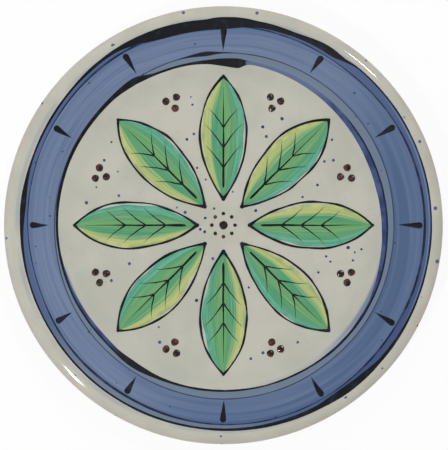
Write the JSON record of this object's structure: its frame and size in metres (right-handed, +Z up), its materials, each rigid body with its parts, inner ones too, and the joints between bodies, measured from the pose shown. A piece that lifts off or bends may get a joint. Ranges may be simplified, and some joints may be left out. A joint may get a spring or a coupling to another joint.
{
  "type": "dinner plate",
  "caption": "Round hand-thrown stoneware dinner plate with a turned foot ring, rolled lip, blue banded rim and raised painted leaf rosette in the well.",
  "frame": {"origin": "centre of the foot ring, on the table that the plate stands on", "axes": "+Z up along the plate's axis, out of the eating side; +X and +Y in the table's plane, with a leaf along each"},
  "size_m": [0.28, 0.28, 0.0271],
  "materials": {
    "stoneware": "bare fired buff stoneware, fine turning marks, matt",
    "pale_glaze": "pale grey-cream gloss glaze, faintly pooled",
    "blue_slip": "brushed grey-blue band under a clear gloss",
    "dark_slip": "trailed blue-black slip, raised, gloss",
    "green_slip": "brushed leaf greens from teal to pale yellow, gloss",
    "brown_slip": "raised maroon-brown dots, gloss",
    "fleck_slip": "small raised blue flecks, gloss"
  },
  "bodies": {
    "root": {"back_glaze": "pale_glaze", "berries_1": "brown_slip", "berries_2": "brown_slip", "berries_3": "brown_slip", "berries_4": "brown_slip", "berries_5": "brown_slip", "berries_6": "brown_slip", "berries_7": "brown_slip", "berries_8": "brown_slip", "blue_band": "blue_slip", "blue_flecks": "fleck_slip", "centre_dots": "brown_slip", "clay_body": "stoneware", "foot_ring": "stoneware", "front_glaze": "pale_glaze", "inner_dark_line": "dark_slip", "inner_hairline": "dark_slip", "leaf_outline_1": "dark_slip", "leaf_outline_2": "dark_slip", "leaf_outline_3": "dark_slip", "leaf_outline_4": "dark_slip", "leaf_outline_5": "dark_slip", "leaf_outline_6": "dark_slip", "leaf_outline_7": "dark_slip", "leaf_outline_8": "dark_slip", "leaf_veins_1": "dark_slip", "leaf_veins_2": "dark_slip", "leaf_veins_3": "dark_slip", "leaf_veins_4": "dark_slip", "leaf_veins_5": "dark_slip", "leaf_veins_6": "dark_slip", "leaf_veins_7": "dark_slip", "leaf_veins_8": "dark_slip", "leaf_wash_1": "green_slip", "leaf_wash_2": "green_slip", "leaf_wash_3": "green_slip", "leaf_wash_4": "green_slip", "leaf_wash_5": "green_slip", "leaf_wash_6": "green_slip", "leaf_wash_7": "green_slip", "leaf_wash_8": "green_slip", "outer_dark_line": "dark_slip", "outer_hairline": "dark_slip", "recess_glaze": "pale_glaze", "rim_dab_01": "dark_slip", "rim_dab_02": "dark_slip", "rim_dab_03": "dark_slip", "rim_dab_04": "dark_slip", "rim_dab_05": "dark_slip", "rim_dab_06": "dark_slip", "rim_dab_07": "dark_slip", "rim_dab_08": "dark_slip", "rim_dab_09": "dark_slip", "rim_dab_10": "dark_slip", "rim_dab_11": "dark_slip", "rim_dab_12": "dark_slip"}
  },
  "joints": []
}
